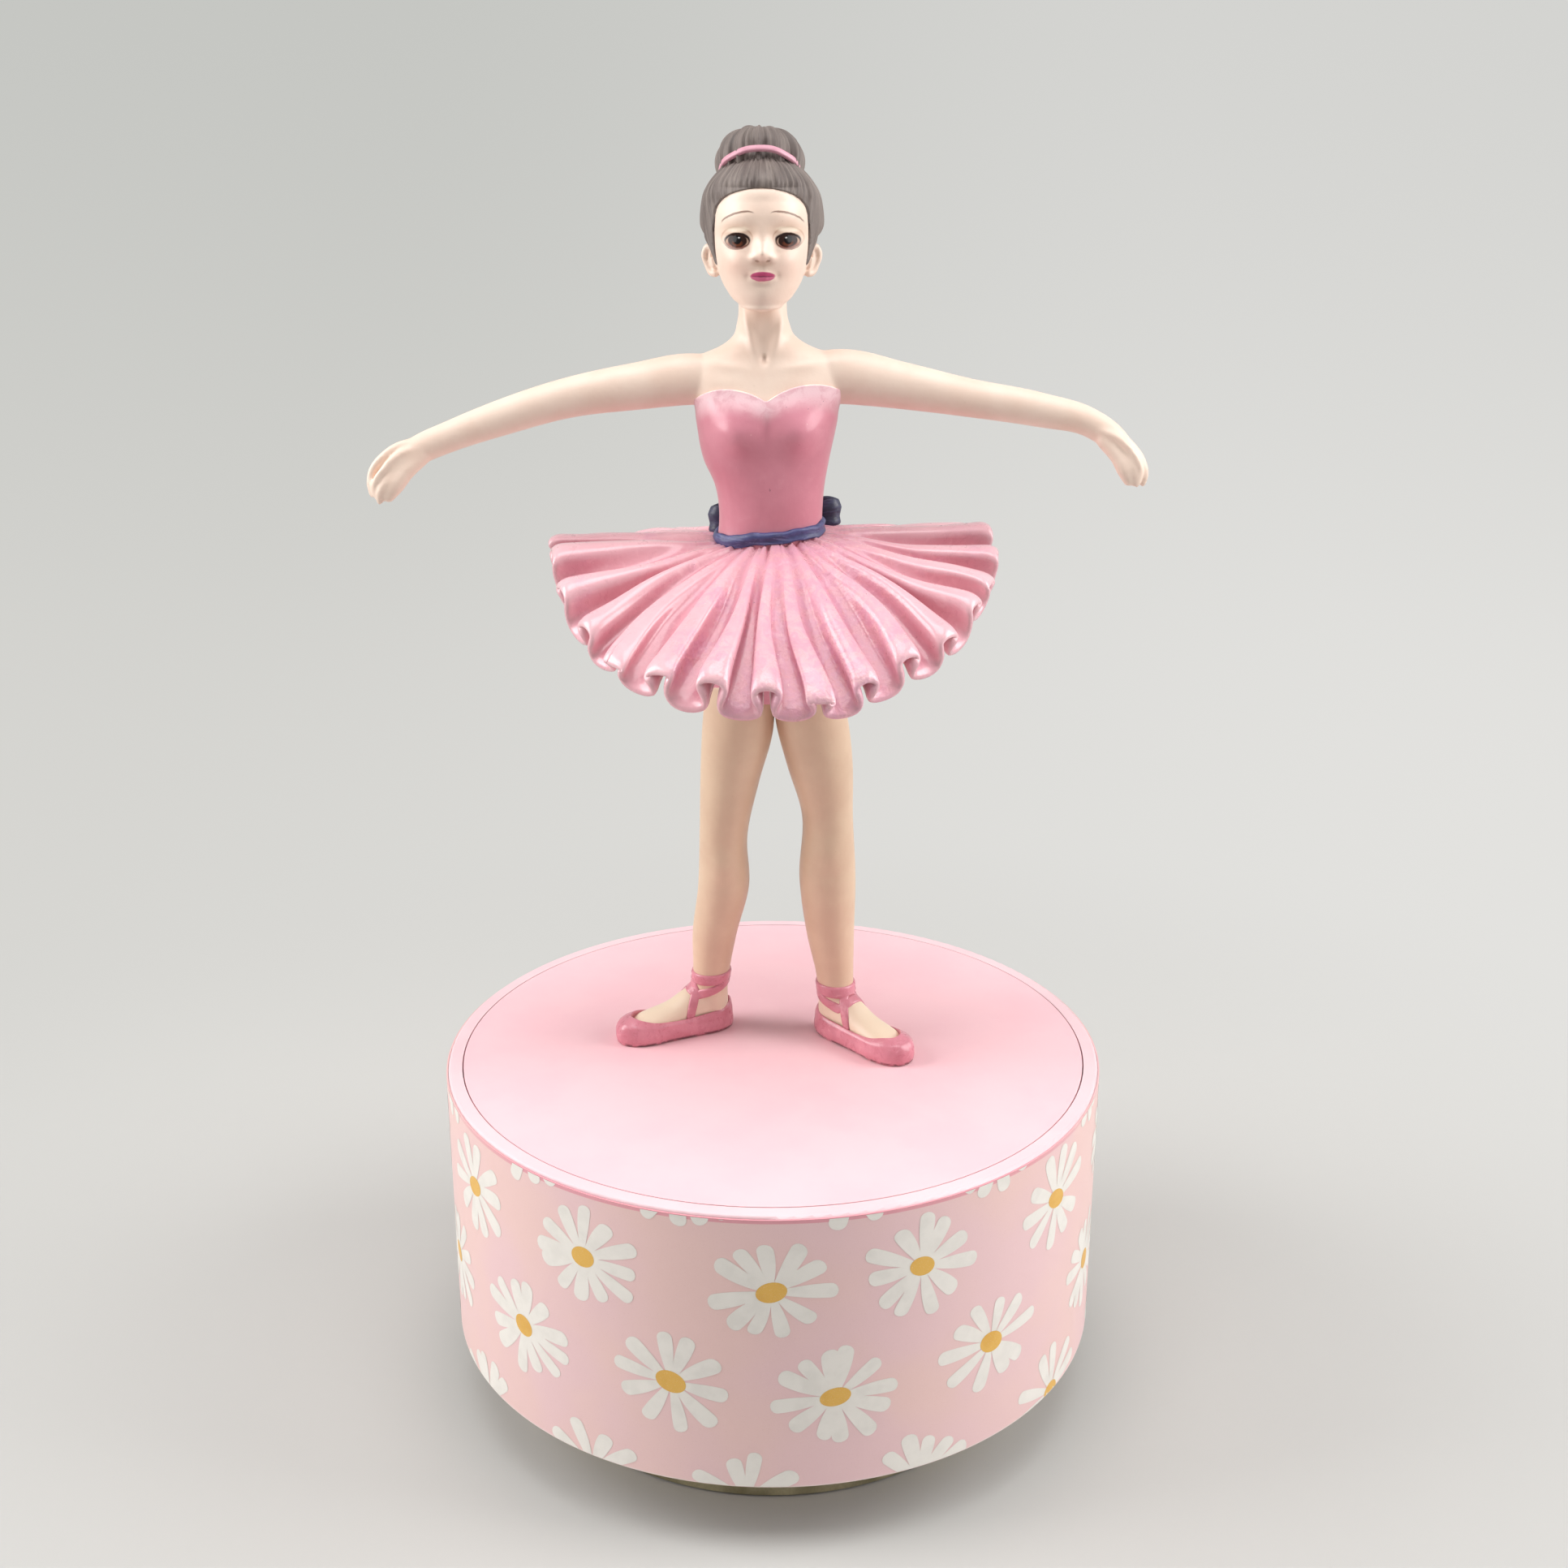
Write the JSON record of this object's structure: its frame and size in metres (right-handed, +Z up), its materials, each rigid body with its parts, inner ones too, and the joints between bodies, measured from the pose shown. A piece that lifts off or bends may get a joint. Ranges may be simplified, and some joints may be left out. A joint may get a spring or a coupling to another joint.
{
  "type": "music box",
  "caption": "Revolving wind-up music box: a dancer with spread arms and a pleated skirt stands on a wide round drum that turns on a round metal foot, with a comb movement inside.",
  "frame": {"origin": "centre of the foot's underside, on the table, on the axis that the drum turns about", "axes": "+Z up along the turning axis, the dancer faces -Y, +X to the viewer's right"},
  "size_m": [0.1138, 0.105, 0.1985],
  "materials": {
    "foot_metal": "satin, tarnished olive tone",
    "rubber": "matte",
    "steel": "brushed",
    "spring_steel": "blued, smooth",
    "brass": "turned, satin",
    "nylon": "smooth moulded",
    "zinc": "tumbled die casting",
    "drum_pink": "gloss",
    "film": "pearly printed film with white daisies",
    "case_plastic": "fine texture",
    "skin": "satin paint on cast resin",
    "shoe_pink": "satin paint on cast resin",
    "bodice_pink": "satin paint on cast resin",
    "tutu_pink": "glossy paint on cast resin",
    "navy": "brushed paint on cast resin",
    "hair_brown": "combed grooves, satin paint"
  },
  "bodies": {
    "foot": {"foot_dish": "foot_metal", "foot_base_plate": "steel", "foot_pad": "rubber", "winding_spindle": "steel", "spindle_nut": "steel", "spindle_collar": "brass", "thrust_washer": "nylon", "spring_arbor": "steel", "great_wheel": "nylon"},
    "music_box": {"drum_shell": "drum_pink", "daisy_film": "film", "top_disc": "drum_pink", "bottom_plate": "case_plastic", "case_screws": "steel", "bedplate": "zinc", "movement_screws": "steel", "spring_barrel": "steel", "barrel_cover": "steel", "mainspring": "spring_steel", "comb": "steel", "comb_screws": "steel", "governor_bracket": "zinc", "bracket_screws": "steel", "figure_screws": "steel", "right_leg": "skin", "left_leg": "skin", "right_shoe": "shoe_pink", "left_shoe": "shoe_pink", "right_ribbons": "shoe_pink", "left_ribbons": "shoe_pink", "leotard": "bodice_pink", "bust": "skin", "right_arm": "skin", "left_arm": "skin", "head": "skin", "hair": "hair_brown", "bun": "hair_brown", "hair_tie": "shoe_pink", "tutu": "tutu_pink", "sash": "navy", "bow": "navy"},
    "cylinder": {"tune_cylinder": "brass", "cylinder_arbor": "steel", "cylinder_pinion": "brass", "cylinder_gear": "brass"},
    "governor": {"governor_arbor": "steel", "governor_pinion": "brass", "governor_wheel": "brass"},
    "fan": {"governor_worm": "brass", "fan": "nylon"}
  },
  "joints": [
    {"name": "box_turn", "type": "hinge", "parent": "foot", "child": "music_box", "pos_m": [0, 0, 0], "axis": [0, 0, 1], "continuous": true},
    {"name": "cylinder_spin", "type": "hinge", "parent": "music_box", "child": "cylinder", "pos_m": [0.02335, 0, 0.0346], "axis": [1, 0, 0], "continuous": true},
    {"name": "governor_spin", "type": "hinge", "parent": "music_box", "child": "governor", "pos_m": [0.03592, 0.01045, 0.0346], "axis": [1, 0, 0], "continuous": true},
    {"name": "fan_spin", "type": "hinge", "parent": "music_box", "child": "fan", "pos_m": [0.0372, 0.019, 0.0346], "axis": [0, 0, 1], "continuous": true}
  ],
  "couplings": [
    {"joint": "cylinder_spin", "follows": "box_turn", "ratio": -4},
    {"joint": "governor_spin", "follows": "box_turn", "ratio": 14.4},
    {"joint": "fan_spin", "follows": "box_turn", "ratio": -172.8}
  ]
}
